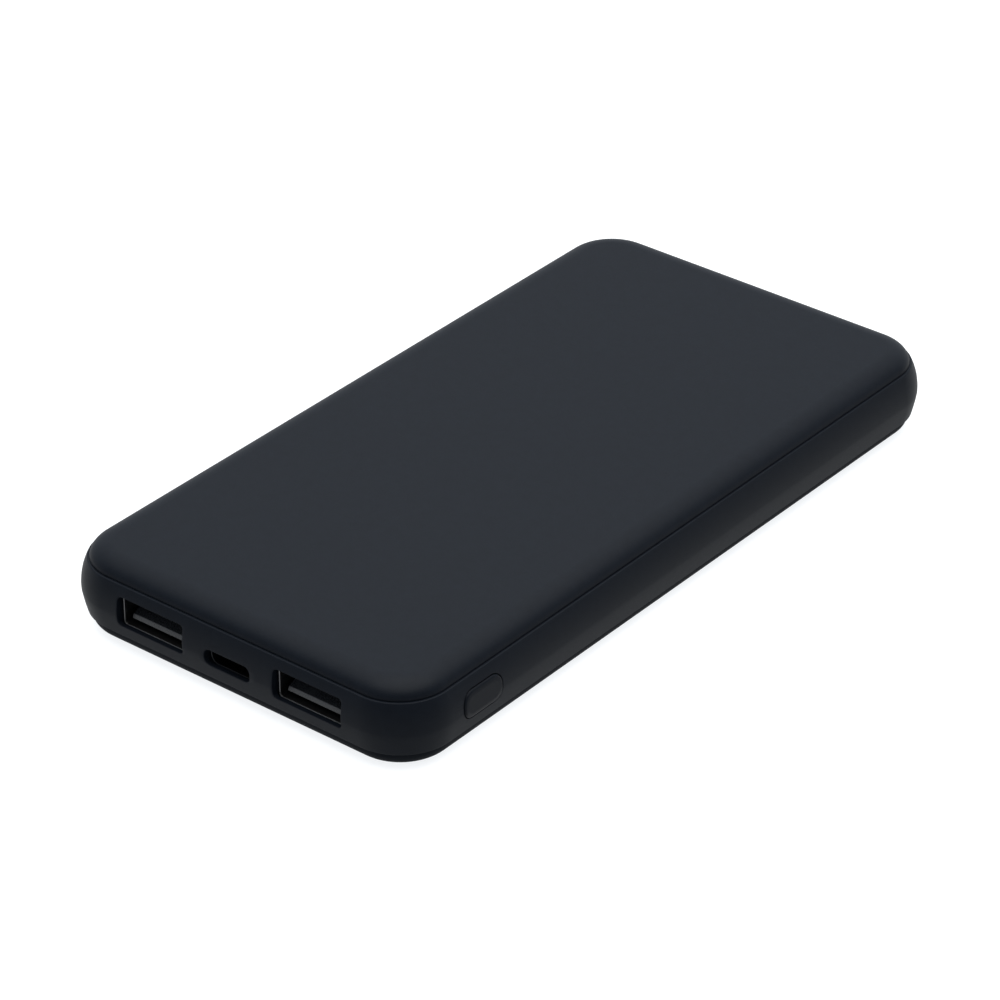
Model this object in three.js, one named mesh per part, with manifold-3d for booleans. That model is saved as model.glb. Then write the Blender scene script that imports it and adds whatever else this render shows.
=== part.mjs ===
// A slim power bank. Two shallow covers and a band between them hold two pouch cells and a
// circuit board with two USB-A sockets, one USB-C socket and a push button.
// Millimetres, +Z up. The origin is the centre of the base, the sockets face -Y and the button
// is on the +X side.
import * as THREE from "three";
import { mergeVertices } from "three/addons/utils/BufferGeometryUtils.js";
import Module from "manifold-3d";

const wasm = await Module();
wasm.setup();

// ---- Driving dimensions -------------------------------------------------------------------

const WIDTH = 70;
const LENGTH = 134.6;
const HEIGHT = 14;
const CORNER_RADIUS = 9.9;

// The band between the covers bulges outwards: its side follows an ellipse about BULGE_Z.
const BAND_BOTTOM = 2.75;
const BAND_TOP = 11.6;
const BULGE_Z = 6.9;
const BULGE_RISE = 7;
const BULGE_DEPTH = 4.25;
const SEAM_GAP = 0.3;

// Each cover meets the band set in by COVER_INSET, and curves over to a flat face.
const COVER_INSET = 1.5;
const TOP_ROUNDING = 4.6;
const BOTTOM_ROUNDING = 4.1;
const COVER_WALL = 1.1;

// A skirt on each cover reaches inside the band.
const BAND_INNER_INSET = 2.4;
const CLEARANCE = 0.3;
const SKIRT_THICKNESS = 1;
const SKIRT_DEPTH = 1.4;
const SKIRT_DEPTH_AT_SOCKETS = 0.5;
const SKIRT_FRONT_END = -42.5;
const SKIRT_ROOT = 0.4;

// Thin parts that lie on each other keep this gap.
const CONTACT_GAP = 0.05;

const HALF_WIDTH = WIDTH / 2;
const HALF_LENGTH = LENGTH / 2;
const FRONT_Y = -HALF_LENGTH;

// How finely curves are divided.
const CURVE_SEGMENTS = 6;
const SMALL_CURVE_SEGMENTS = 5;
const POST_SIDES = 16;

// Cutting tools run past what they cut by this much.
const OVERRUN = 1;

// ---- Materials ----------------------------------------------------------------------------

function material(color, roughness, metalness = 0) {
  return new THREE.MeshStandardMaterial({ color, roughness, metalness });
}

const SOFT_TOUCH_BLACK = material(0x2f3337, 0.62);
const BUTTON_BLACK = material(0x2b2f33, 0.55);
const SOCKET_STEEL = material(0x585756, 0.35, 1);
const SOCKET_PLASTIC = material(0x1f2123, 0.4);
const CONTACT_GOLD = material(0xc9a04f, 0.3, 1);
const BOARD_GREEN = material(0x1d5a38, 0.55);
const CHIP_BLACK = material(0x1b1b1d, 0.5);
const FERRITE_GREY = material(0x4a4b4d, 0.8);
const CERAMIC_TAN = material(0x9a7b57, 0.5);
const CELL_FOIL = material(0xaeb2b6, 0.35, 0.8);
const NICKEL = material(0xc4c2ba, 0.35, 1);
const SCREW_STEEL = material(0x8f9194, 0.35, 1);
const TAPE_WHITE = material(0xe2e2dc, 0.8);
const FOAM_BLACK = material(0x232323, 0.95);
const INSULATION_AMBER = material(0xb9822f, 0.4);
const LEAD_RED = material(0xb3201c, 0.6);
const LEAD_BLACK = material(0x1a1a1a, 0.6);

// ---- Solids -------------------------------------------------------------------------------

function toSolid(geometry) {
  const bare = geometry.clone();
  bare.deleteAttribute("normal");
  bare.deleteAttribute("uv");
  const merged = mergeVertices(bare, 1e-4);
  return new wasm.Manifold(
    new wasm.Mesh({
      numProp: 3,
      vertProperties: merged.attributes.position.array,
      triVerts: new Uint32Array(merged.index.array),
    }),
  );
}

function toGeometry(solid) {
  const mesh = solid.getMesh();
  const geometry = new THREE.BufferGeometry();
  geometry.setAttribute("position", new THREE.BufferAttribute(mesh.vertProperties, 3));
  geometry.setIndex(new THREE.BufferAttribute(mesh.triVerts, 1));
  return geometry;
}

// A block between two opposite corners.
function block(low, high) {
  const [x0, y0, z0] = low;
  const [x1, y1, z1] = high;
  const geometry = new THREE.BoxGeometry(x1 - x0, y1 - y0, z1 - z0);
  return geometry.translate((x0 + x1) / 2, (y0 + y1) / 2, (z0 + z1) / 2);
}

// A block of the given size that stands on z, centred on x and y.
function blockOn(x, y, z, [sizeX, sizeY, sizeZ]) {
  return block([x - sizeX / 2, y - sizeY / 2, z], [x + sizeX / 2, y + sizeY / 2, z + sizeZ]);
}

function post([x, y], z0, z1, radius) {
  const geometry = new THREE.CylinderGeometry(radius, radius, z1 - z0, POST_SIDES);
  return geometry.rotateX(Math.PI / 2).translate(x, y, (z0 + z1) / 2);
}

function roundedOutline(halfX, halfY, radius) {
  const outline = new THREE.Shape();
  const [cx, cy] = [halfX - radius, halfY - radius];
  outline.absarc(cx, cy, radius, 0, Math.PI / 2);
  outline.absarc(-cx, cy, radius, Math.PI / 2, Math.PI);
  outline.absarc(-cx, -cy, radius, Math.PI, 1.5 * Math.PI);
  outline.absarc(cx, -cy, radius, 1.5 * Math.PI, 2 * Math.PI);
  outline.closePath();
  return outline;
}

// The object's plan outline, moved inwards by inset.
function planOutline(inset) {
  return roundedOutline(HALF_WIDTH - inset, HALF_LENGTH - inset, CORNER_RADIUS - inset);
}

function prism(outline, z0, z1, curveSegments = CURVE_SEGMENTS) {
  const options = { depth: z1 - z0, bevelEnabled: false, curveSegments };
  return new THREE.ExtrudeGeometry(outline, options).translate(0, 0, z0);
}

// A slab whose edge is an ellipse: widest at middleZ, and rise above and below it the outline
// has moved inwards by depth.
function pillow(outline, middleZ, rise, depth, segments) {
  const core = 0.02;
  const options = {
    depth: core,
    curveSegments: CURVE_SEGMENTS,
    bevelThickness: rise - core / 2,
    bevelSize: depth,
    bevelOffset: -depth,
    bevelSegments: segments,
  };
  return new THREE.ExtrudeGeometry(outline, options).translate(0, 0, middleZ - core / 2);
}

// A rounded outline of x and z, run along y.
function prismAlongY(halfX, halfZ, radius, [x, z], y0, y1) {
  const outline = roundedOutline(halfX, halfZ, radius);
  const geometry = prism(outline, 0, y1 - y0, SMALL_CURVE_SEGMENTS);
  return geometry.rotateX(Math.PI / 2).translate(x, y1, z);
}

// Turns a shape drawn in x and y and run along z, so that it is drawn in y and z and run along x.
function turnToX(geometry) {
  return geometry.rotateX(Math.PI / 2).rotateZ(Math.PI / 2);
}

// A rounded outline of y and z, run along x.
function prismAlongX(halfY, halfZ, radius, [y, z], x0, x1) {
  const outline = roundedOutline(halfY, halfZ, radius);
  return turnToX(prism(outline, 0, x1 - x0, SMALL_CURVE_SEGMENTS)).translate(x0, y, z);
}

// A closed outline of y and z points, run along x and centred on it.
function profileAlongX(points, x, sizeX) {
  const outline = new THREE.Shape(points.map(([y, z]) => new THREE.Vector2(y, z)));
  return turnToX(prism(outline, 0, sizeX)).translate(x - sizeX / 2, 0, 0);
}

function join(first, ...others) {
  return others.reduce((sum, geometry) => sum.add(toSolid(geometry)), toSolid(first));
}

function cut(solid, ...tools) {
  return tools.reduce((rest, geometry) => rest.subtract(toSolid(geometry)), solid);
}

function keepBetween(geometry, z0, z1) {
  const slab = block([-WIDTH, -LENGTH, z0], [WIDTH, LENGTH, z1]);
  return toSolid(geometry).intersect(toSolid(slab));
}

const bank = new THREE.Group();

function add(name, shape, look) {
  const geometry = shape instanceof THREE.BufferGeometry ? shape : toGeometry(shape);
  const mesh = new THREE.Mesh(geometry, look);
  mesh.name = name;
  bank.add(mesh);
}

// ---- Where the sockets, the board and the button lie ---------------------------------------

const BOARD = { bottom: 3.5, top: 4.7, front: -64.2, back: -42, halfX: 30.4, cornerRadius: 7 };

// The openings in the band's end stop at a pocket that takes the front of each socket's shell.
const OPENING_DEPTH = 6;

// The board's sockets all sit this far to the right of the middles of their openings.
const SOCKET_SHIFT = 0.3;

const USB_A = {
  centresX: { left: -15.15, right: 15.75 },
  z: 7.66,
  opening: { halfX: 6.68, halfZ: 2.55, radius: 0.8, z: 7.56 },
  inner: { halfX: 6.25, halfZ: 2.55 },
  outerRadius: 0.7,
  innerRadius: 0.4,
  sheet: 0.3,
  front: FRONT_Y + 1.15,
  length: 14,
  legBack: 5,
};

const USB_C = {
  x: SOCKET_SHIFT,
  z: 6.85,
  opening: { halfX: 4.6, halfZ: 1.46, radius: 1.2, z: 6.85 },
  inner: { halfX: 4.17, halfZ: 1.28 },
  outerRadius: 1.57,
  innerRadius: 1.27,
  sheet: 0.3,
  front: FRONT_Y + 1.15,
  length: 7.3,
  legBack: 4,
};

// Every socket with the x of its middle.
const SOCKETS = [
  ...Object.values(USB_A.centresX).map((x) => ({ x, socket: USB_A })),
  { x: USB_C.x, socket: USB_C },
];

const BUTTON = {
  y: -50.55,
  z: 7.45,
  openingHalfY: 4.55,
  openingHalfZ: 2.55,
  radius: 2.2,
  gap: 0.25,
  flangeHalfY: 5.2,
  flangeHalfZ: 3.2,
  flangeRadius: 1,
};

const SIDES = [-1, 1];
const SCREW_PLACES = SIDES.map((side) => [27 * side, -57.5]);
const SCREW_SHANK_RADIUS = 0.8;
const SCREW_TIP_Z = 1.5;

// ---- Covers -------------------------------------------------------------------------------

const skirtOuter = BAND_INNER_INSET + CLEARANCE;
const skirtInner = skirtOuter + SKIRT_THICKNESS;

function skirtRing(z0, z1) {
  const outside = toSolid(prism(planOutline(skirtOuter), z0, z1));
  return cut(outside, prism(planOutline(skirtInner), z0 - 1, z1 + 1));
}

// A skirt from its root in the cover down (or up) into the band: full depth along the sides and
// across the back, and shallow around the sockets and the button.
function skirt(root, bandEdge, direction) {
  const ends = [SKIRT_DEPTH, SKIRT_DEPTH_AT_SOCKETS].map((depth) => bandEdge + direction * depth);
  const [deep, shallow] = ends.map((end) => skirtRing(Math.min(root, end), Math.max(root, end)));
  const front = block([-WIDTH, -LENGTH, -HEIGHT], [WIDTH, SKIRT_FRONT_END, 2 * HEIGHT]);
  return cut(deep, front).add(shallow);
}

const CATCHES_Y = [-24, 12, 48];
const CATCH = { reach: 0.7, height: 0.6, length: 7 };

// Snap catches, as blocks that stand out of the skirt's sides by reach.
function catches(z0, z1, reach = CATCH.reach, length = CATCH.length) {
  const face = HALF_WIDTH - skirtOuter;
  const list = [];
  for (const side of SIDES) {
    const [a, b] = [side * (face - SKIRT_THICKNESS / 2), side * (face + reach)];
    for (const y of CATCHES_Y) {
      const low = [Math.min(a, b), y - length / 2, z0];
      const high = [Math.max(a, b), y + length / 2, z1];
      list.push(block(low, high));
    }
  }
  return list;
}

// A cover is half of a pillow about the seam, hollowed from inside, with a skirt towards the band.
function coverShell(seam, rise, rounding, bandEdge) {
  const outwards = Math.sign(seam - bandEdge);
  const [z0, z1] = outwards > 0 ? [seam, seam + rise] : [seam - rise, seam];
  const skin = keepBetween(pillow(planOutline(COVER_INSET), seam, rise, rounding, 6), z0, z1);
  const hollow = pillow(planOutline(skirtInner), seam, rise - COVER_WALL, rounding - 1, 3);
  return cut(skin, hollow).add(skirt(seam + outwards * SKIRT_ROOT, bandEdge, -outwards));
}

function makeTopCover() {
  const seam = BAND_TOP + SEAM_GAP;
  const shell = coverShell(seam, HEIGHT - seam, TOP_ROUNDING, BAND_TOP);
  const skirtEnd = BAND_TOP - SKIRT_DEPTH;
  return join(toGeometry(shell), ...catches(skirtEnd, skirtEnd + CATCH.height));
}

const SCREW_POST_RADIUS = 2.2;
const PILOT_RADIUS = SCREW_SHANK_RADIUS + 0.15;
const PILOT_BOTTOM = SCREW_TIP_Z - 0.2;
const REST_PLACES = SIDES.map((side) => [25 * side, BOARD.back + 2]);
const REST_RADIUS = 1.2;
const PARTITION = { halfX: 26, front: -38.6, back: -37.6, top: 2.6 };

function makeBottomCover() {
  const seam = BAND_BOTTOM - SEAM_GAP;
  const shell = coverShell(seam, seam, BOTTOM_ROUNDING, BAND_BOTTOM);
  const skirtEnd = BAND_BOTTOM + SKIRT_DEPTH;
  const boardSeat = BOARD.bottom - CLEARANCE;
  const root = COVER_WALL / 2;
  const { halfX, front, back, top } = PARTITION;
  const whole = join(
    toGeometry(shell),
    ...SCREW_PLACES.map((place) => post(place, root, boardSeat, SCREW_POST_RADIUS)),
    ...REST_PLACES.map((place) => post(place, root, boardSeat, REST_RADIUS)),
    block([-halfX, front, root], [halfX, back, top]),
    ...catches(skirtEnd - CATCH.height, skirtEnd),
  );
  return cut(whole, ...SCREW_PLACES.map((place) => post(place, PILOT_BOTTOM, HEIGHT, PILOT_RADIUS)));
}

// ---- Band ---------------------------------------------------------------------------------

// The opening that shows a socket, and the wider pocket behind it for the front of its shell.
function socketOpening({ x, socket }) {
  const { opening, inner, sheet, outerRadius, front } = socket;
  const { halfX, halfZ, radius } = opening;
  const inward = FRONT_Y + OPENING_DEPTH;
  const room = sheet + CLEARANCE;
  const pocketFront = front - 2 * CONTACT_GAP;
  const pocket = [inner.halfX + room, inner.halfZ + room, outerRadius];
  return [
    prismAlongY(halfX, halfZ, radius, [x - SOCKET_SHIFT, opening.z], FRONT_Y - OVERRUN, inward),
    prismAlongY(...pocket, [x, socket.z], pocketFront, inward),
  ];
}

// Grooves in the band's inner face that the covers' catches snap into.
function catchGrooves() {
  const room = CLEARANCE;
  const size = [CATCH.reach + room, CATCH.length + 2 * room];
  const topCatch = BAND_TOP - SKIRT_DEPTH;
  const bottomCatch = BAND_BOTTOM + SKIRT_DEPTH;
  return [
    ...catches(topCatch - room, topCatch + CATCH.height + room, ...size),
    ...catches(bottomCatch - CATCH.height - room, bottomCatch + room, ...size),
  ];
}

function makeBand() {
  const blank = pillow(planOutline(0), BULGE_Z, BULGE_RISE, BULGE_DEPTH, 8);
  const { openingHalfY, openingHalfZ, radius, y, z } = BUTTON;
  const outside = HALF_WIDTH + OVERRUN;
  const inside = HALF_WIDTH - CORNER_RADIUS;
  return cut(
    keepBetween(blank, BAND_BOTTOM, BAND_TOP),
    prism(planOutline(BAND_INNER_INSET), -OVERRUN, HEIGHT + OVERRUN),
    ...SOCKETS.flatMap(socketOpening),
    prismAlongX(openingHalfY, openingHalfZ, radius, [y, z], inside, outside),
    ...catchGrooves(),
  );
}

add("top_cover", makeTopCover(), SOFT_TOUCH_BLACK);
add("middle_frame", makeBand(), SOFT_TOUCH_BLACK);
add("bottom_cover", makeBottomCover(), SOFT_TOUCH_BLACK);

// ---- Push button and the switch behind it ---------------------------------------------------

const BUTTON_FACE_X = HALF_WIDTH + 0.2;
const FLANGE_OUTER_X = HALF_WIDTH - BAND_INNER_INSET - CLEARANCE;
const FLANGE_THICKNESS = 0.8;
const SWITCH_STEM_END_X = 30.3;
const SWITCH_FACE_X = 29.4;
const SWITCH_DEPTH = 3.6;
const SWITCH_HALF_Y = 2.3;
const SWITCH_TOP = 8.9;
const STEM = { halfY: 1.1, halfZ: 0.7, radius: 0.3, hidden: 1.5 };
const NUB = { halfY: 1.3, halfZ: 1, radius: 0.5 };

// The cap stands through the band, the flange behind it keeps it in, and the nub meets the stem.
function makeButton() {
  const edge = 0.35;
  const halfY = BUTTON.openingHalfY - BUTTON.gap;
  const halfZ = BUTTON.openingHalfZ - BUTTON.gap;
  const outline = roundedOutline(halfY, halfZ, BUTTON.radius - BUTTON.gap);
  const options = {
    depth: BUTTON_FACE_X - FLANGE_OUTER_X,
    curveSegments: SMALL_CURVE_SEGMENTS,
    bevelThickness: edge,
    bevelSize: edge,
    bevelOffset: -edge,
    bevelSegments: 3,
  };
  const cap = turnToX(new THREE.ExtrudeGeometry(outline, options));
  cap.translate(FLANGE_OUTER_X - edge, BUTTON.y, BUTTON.z);
  const { flangeHalfY, flangeHalfZ, flangeRadius, y, z } = BUTTON;
  const flangeInner = FLANGE_OUTER_X - FLANGE_THICKNESS;
  const flange = [flangeHalfY, flangeHalfZ, flangeRadius, [y, z], flangeInner, FLANGE_OUTER_X];
  const nubEnd = SWITCH_STEM_END_X + CLEARANCE;
  const nub = [NUB.halfY, NUB.halfZ, NUB.radius, [y, z], nubEnd, FLANGE_OUTER_X];
  return join(cap, prismAlongX(...flange), prismAlongX(...nub));
}

function makeSwitchBody() {
  const low = [SWITCH_FACE_X - SWITCH_DEPTH, BUTTON.y - SWITCH_HALF_Y, BOARD.top + CONTACT_GAP];
  const high = [SWITCH_FACE_X, BUTTON.y + SWITCH_HALF_Y, SWITCH_TOP];
  const halfY = STEM.halfY + CLEARANCE;
  const halfZ = STEM.halfZ + CLEARANCE;
  const boreEnd = SWITCH_FACE_X - STEM.hidden - 3 * CLEARANCE;
  const place = [BUTTON.y, BUTTON.z];
  const bore = prismAlongX(halfY, halfZ, STEM.radius, place, boreEnd, SWITCH_FACE_X + OVERRUN);
  return cut(toSolid(block(low, high)), bore);
}

function makeSwitchStem() {
  const start = SWITCH_FACE_X - STEM.hidden;
  const place = [BUTTON.y, BUTTON.z];
  return prismAlongX(STEM.halfY, STEM.halfZ, STEM.radius, place, start, SWITCH_STEM_END_X);
}

add("power_button", makeButton(), BUTTON_BLACK);
add("switch_body", makeSwitchBody(), CHIP_BLACK);
add("switch_stem", makeSwitchStem(), TAPE_WHITE);

// ---- USB-A sockets --------------------------------------------------------------------------

const LEG_THICKNESS = 0.4;
const LEG_LENGTH = 1.8;
const LEG_END = 2.9;

// Where the legs stand: one down each side of the shell.
function legPlaces({ x, socket }) {
  const offset = socket.inner.halfX + socket.sheet - CONTACT_GAP - LEG_THICKNESS / 2;
  return SIDES.map((side) => [x + side * offset, socket.front + socket.legBack]);
}

// A socket's folded shell: a tube open at both ends, with one solder leg down each side.
function socketShell({ x, socket }) {
  const { z, inner, sheet, front, length, outerRadius, innerRadius } = socket;
  const place = [x, z];
  const back = front + length;
  const outer = [inner.halfX + sheet, inner.halfZ + sheet, outerRadius];
  const bore = [inner.halfX, inner.halfZ, innerRadius];
  const legSize = [LEG_THICKNESS, LEG_LENGTH, z - LEG_END];
  const legs = legPlaces({ x, socket }).map(([legX, legY]) => blockOn(legX, legY, LEG_END, legSize));
  const tube = prismAlongY(...outer, place, front, back);
  return cut(join(tube, ...legs), prismAlongY(...bore, place, front - OVERRUN, back + OVERRUN));
}

// A tongue starts with a low nose that leans back, and slopes up behind it to its full height.
const TONGUE = { halfX: 5.55, bottom: USB_A.z - 1.83, top: USB_A.z + 0.01, front: USB_A.front + 0.85 };
const TONGUE_NOSE = { height: 0.78, lean: 0.27, chamfer: 0.12 };
const TONGUE_SLOPE_LENGTH = 2.6;
// How far moulded insulators stand off the inside of their shell.
const INSULATOR_FIT = 0.1;
const INSULATOR_BLOCK = 3.6;

function makeUsbAInsulator(x) {
  const back = USB_A.front + USB_A.length - CONTACT_GAP;
  const { bottom, top, front } = TONGUE;
  const { height, lean, chamfer } = TONGUE_NOSE;
  const blockFront = back - INSULATOR_BLOCK;
  const root = blockFront + INSULATOR_BLOCK / 2;
  const outline = [
    [front + chamfer, bottom],
    [root, bottom],
    [root, top],
    [front + lean + TONGUE_SLOPE_LENGTH, top],
    [front + lean, bottom + height],
    [front, bottom + chamfer],
  ];
  const tongue = profileAlongX(outline, x, 2 * TONGUE.halfX);
  const halfX = USB_A.inner.halfX - INSULATOR_FIT;
  const halfZ = USB_A.inner.halfZ - INSULATOR_FIT;
  const rear = prismAlongY(halfX, halfZ, USB_A.innerRadius, [x, USB_A.z], blockFront, back);
  return join(tongue, rear);
}

const A_CONTACT = { setBack: 3.2, thickness: 0.2, hump: 0.35, width: 1 };

// A contact is a sprung strip on the tongue, with a hump where it meets the plug.
function makeUsbAContact(x) {
  const { setBack, thickness, hump, width } = A_CONTACT;
  const low = TONGUE.top + CONTACT_GAP;
  const top = low + thickness;
  const start = TONGUE.front + setBack;
  const end = USB_A.front + USB_A.length - INSULATOR_BLOCK - 3 * CONTACT_GAP;
  const outline = [
    [start, low],
    [end, low],
    [end, top],
    [start + 3, top],
    [start + 1.8, top + hump],
    [start + 1, top + hump],
    [start, top],
  ];
  return profileAlongX(outline, x, width);
}

const CONTACT_OFFSETS = [-3.5, -1, 1, 3.5];

for (const [side, x] of Object.entries(USB_A.centresX)) {
  add(`usb_a_shell_${side}`, socketShell({ x, socket: USB_A }), SOCKET_STEEL);
  add(`usb_a_insulator_${side}`, makeUsbAInsulator(x), SOCKET_PLASTIC);
  CONTACT_OFFSETS.forEach((offset, index) => {
    add(`usb_a_contact_${side}_${index + 1}`, makeUsbAContact(x + offset), CONTACT_GOLD);
  });
}

// ---- USB-C socket ---------------------------------------------------------------------------

const C_TONGUE = { halfX: 3.34, halfZ: 0.35, radius: 0.15, front: USB_C.front + 0.9 };
const C_BLOCK = 1.6;
const C_CONTACT = { pitch: 0.5, count: 12, width: 0.26, thickness: 0.08, setBack: 0.5 };
const C_CONTACT_BAR = { halfX: 3.1, length: 0.6 };

function makeUsbCInsulator() {
  const back = USB_C.front + USB_C.length - CONTACT_GAP;
  const blockFront = back - C_BLOCK;
  const place = [USB_C.x, USB_C.z];
  const root = blockFront + C_BLOCK / 2;
  const tongue = [C_TONGUE.halfX, C_TONGUE.halfZ, C_TONGUE.radius, place, C_TONGUE.front, root];
  const halfX = USB_C.inner.halfX - INSULATOR_FIT;
  const halfZ = USB_C.inner.halfZ - INSULATOR_FIT;
  const rear = [halfX, halfZ, USB_C.innerRadius - INSULATOR_FIT, place, blockFront, back];
  return join(prismAlongY(...tongue), prismAlongY(...rear));
}

// Twelve contacts side by side, held by one bar at their back.
function makeUsbCContacts(side) {
  const { pitch, count, width, thickness, setBack } = C_CONTACT;
  const near = side * (C_TONGUE.halfZ + CONTACT_GAP);
  const far = side * (C_TONGUE.halfZ + CONTACT_GAP + thickness);
  const z0 = USB_C.z + Math.min(near, far);
  const z1 = USB_C.z + Math.max(near, far);
  const back = USB_C.front + USB_C.length - C_BLOCK - 3 * CONTACT_GAP;
  const { halfX, length } = C_CONTACT_BAR;
  const bar = block([USB_C.x - halfX, back - length, z0], [USB_C.x + halfX, back, z1]);
  const strips = Array.from({ length: count }, (_, index) => {
    const x = USB_C.x + (index - (count - 1) / 2) * pitch;
    const front = C_TONGUE.front + setBack;
    return block([x - width / 2, front, z0], [x + width / 2, back - length / 2, z1]);
  });
  return join(bar, ...strips);
}

add("usb_c_shell", socketShell({ x: USB_C.x, socket: USB_C }), SOCKET_STEEL);
add("usb_c_insulator", makeUsbCInsulator(), CHIP_BLACK);
add("usb_c_contacts_upper", makeUsbCContacts(1), CONTACT_GOLD);
add("usb_c_contacts_lower", makeUsbCContacts(-1), CONTACT_GOLD);

// ---- Circuit board and what is on it --------------------------------------------------------

// The board is rounded at the sockets' end and square at the other, with a hole for each screw
// and a slot for each solder leg.
function makeBoard() {
  const { bottom, top, front, back, halfX, cornerRadius } = BOARD;
  const outline = roundedOutline(halfX, (back - front) / 2, cornerRadius);
  const plate = prism(outline, bottom, top).translate(0, (front + back) / 2, 0);
  const squareBack = block([-halfX, back - cornerRadius, bottom], [halfX, back, top]);
  const holeRadius = SCREW_SHANK_RADIUS + CLEARANCE;
  const [under, over] = [bottom - OVERRUN, top + OVERRUN];
  const holes = SCREW_PLACES.map((place) => post(place, under, over, holeRadius));
  const slotSize = [LEG_THICKNESS + 2 * CLEARANCE, LEG_LENGTH + 2 * CLEARANCE, over - under];
  const slots = SOCKETS.flatMap(legPlaces).map(([x, y]) => blockOn(x, y, under, slotSize));
  return cut(join(plate, squareBack), ...holes, ...slots);
}

add("circuit_board", makeBoard(), BOARD_GREEN);

const ON_BOARD = BOARD.top + CONTACT_GAP;

const INDUCTOR = { y: -49.5, halfX: 3.6, halfY: 3.4, cornerRadius: 0.9, height: 4 };

function makeInductor() {
  const { y, halfX, halfY, cornerRadius, height } = INDUCTOR;
  const outline = roundedOutline(halfX, halfY, cornerRadius);
  return prism(outline, ON_BOARD, ON_BOARD + height).translate(0, y, 0);
}

// Small parts in a row behind the sockets, by where they stand and how big they are.
const CHIP_ROW_Y = -46.6;
const CHIPS = {
  charge_controller: { x: 12.5, size: [5, 5, 0.9] },
  protection_chip: { x: -13, size: [4.9, 3.9, 1.5] },
  sense_resistor: { x: -7.2, size: [3.2, 5.4, 0.7] },
};
const CAPACITOR_SIZE = [1.8, 3.4, 1.8];
const CAPACITORS_X = { input: 6.6, output_left: -18.6, output_right: 18.4, battery: -21.6 };

add("power_inductor", makeInductor(), FERRITE_GREY);
for (const [name, { x, size }] of Object.entries(CHIPS)) {
  add(name, blockOn(x, CHIP_ROW_Y, ON_BOARD, size), CHIP_BLACK);
}
for (const [job, x] of Object.entries(CAPACITORS_X)) {
  add(`capacitor_${job}`, blockOn(x, CHIP_ROW_Y, ON_BOARD, CAPACITOR_SIZE), CERAMIC_TAN);
}

const SCREW_HEAD = { radius: 1.6, height: 1, rim: 0.5, recessLength: 1.8, recessWidth: 0.4 };

// A pan-head screw with a cross recess.
function makeScrew([x, y]) {
  const { radius: headRadius, height, rim, recessLength, recessWidth } = SCREW_HEAD;
  const tipRadius = SCREW_SHANK_RADIUS * 0.6;
  const profile = [
    [0, SCREW_TIP_Z],
    [tipRadius, SCREW_TIP_Z],
    [SCREW_SHANK_RADIUS, SCREW_TIP_Z + tipRadius],
    [SCREW_SHANK_RADIUS, ON_BOARD],
    [headRadius, ON_BOARD],
    [headRadius, ON_BOARD + rim],
    [headRadius * 0.6, ON_BOARD + height],
    [0, ON_BOARD + height],
  ].map(([radius, z]) => new THREE.Vector2(radius, z));
  const turned = new THREE.LatheGeometry(profile, POST_SIDES).rotateX(Math.PI / 2);
  const recessZ = ON_BOARD + height / 2;
  const recess = [
    blockOn(0, 0, recessZ, [recessLength, recessWidth, height]),
    blockOn(0, 0, recessZ, [recessWidth, recessLength, height]),
  ];
  return toGeometry(cut(toSolid(turned), ...recess)).translate(x, y, 0);
}

["left", "right"].forEach((side, index) => {
  add(`board_screw_${side}`, makeScrew(SCREW_PLACES[index]), SCREW_STEEL);
});

const INSULATION = { halfX: 22, front: -62, back: -43, bottom: 1.4, thickness: 0.2 };

function makeInsulationSheet() {
  const { halfX, front, back, bottom, thickness } = INSULATION;
  return block([-halfX, front, bottom], [halfX, back, bottom + thickness]);
}

add("insulation_sheet", makeInsulationSheet(), INSULATION_AMBER);

// ---- Cells, tabs and leads ------------------------------------------------------------------

const CELL = { halfX: 30, front: -36, back: 62, thickness: 5.2, edge: 1.2, cornerRadius: 2.5 };
const CELL_BOTTOM = { lower: 1.4, upper: 6.9 };
const TAB_THICKNESS = 0.15;
const TAB_WIDTH = 4;
const TAB_X = { positive: 9, negative: -9 };
const PROTECTION_BOARD = { front: -41, back: -37.6, bottom: 6.3, top: 7.1, halfX: 13 };

// A pouch cell is a slab with softly rounded edges.
function makeCell(bottom) {
  const halfY = (CELL.back - CELL.front) / 2;
  const outline = roundedOutline(CELL.halfX, halfY, CELL.cornerRadius);
  const options = {
    depth: CELL.thickness - 2 * CELL.edge,
    curveSegments: 4,
    bevelThickness: CELL.edge,
    bevelSize: CELL.edge,
    bevelOffset: -CELL.edge,
    bevelSegments: 3,
  };
  const slab = new THREE.ExtrudeGeometry(outline, options);
  return slab.translate(0, (CELL.front + CELL.back) / 2, bottom + CELL.edge);
}

// A nickel tab leaves the cell's end level, then turns towards the protection board.
function makeTab(level, x) {
  const exit = CELL_BOTTOM[level] + CELL.thickness / 2;
  const { bottom, top, back } = PROTECTION_BOARD;
  const fromAbove = exit > top;
  const end = fromAbove ? top + CONTACT_GAP : bottom - CONTACT_GAP;
  const [low, high] = fromAbove ? [end, exit] : [exit, end];
  const runBottom = fromAbove ? high - TAB_THICKNESS : low;
  const [x0, x1] = [x - TAB_WIDTH / 2, x + TAB_WIDTH / 2];
  const turnY = back - 1;
  const cellEnd = CELL.front - CONTACT_GAP;
  return join(
    block([x0, turnY, runBottom], [x1, cellEnd, runBottom + TAB_THICKNESS]),
    block([x0, turnY, low], [x1, turnY + TAB_THICKNESS, high]),
  );
}

for (const level of ["lower", "upper"]) {
  add(`cell_${level}`, makeCell(CELL_BOTTOM[level]), CELL_FOIL);
  for (const [pole, x] of Object.entries(TAB_X)) {
    add(`cell_tab_${level}_${pole}`, makeTab(level, x), NICKEL);
  }
}

function makeProtectionBoard() {
  const { front, back, bottom, top, halfX } = PROTECTION_BOARD;
  return block([-halfX, front, bottom], [halfX, back, top]);
}

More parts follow.
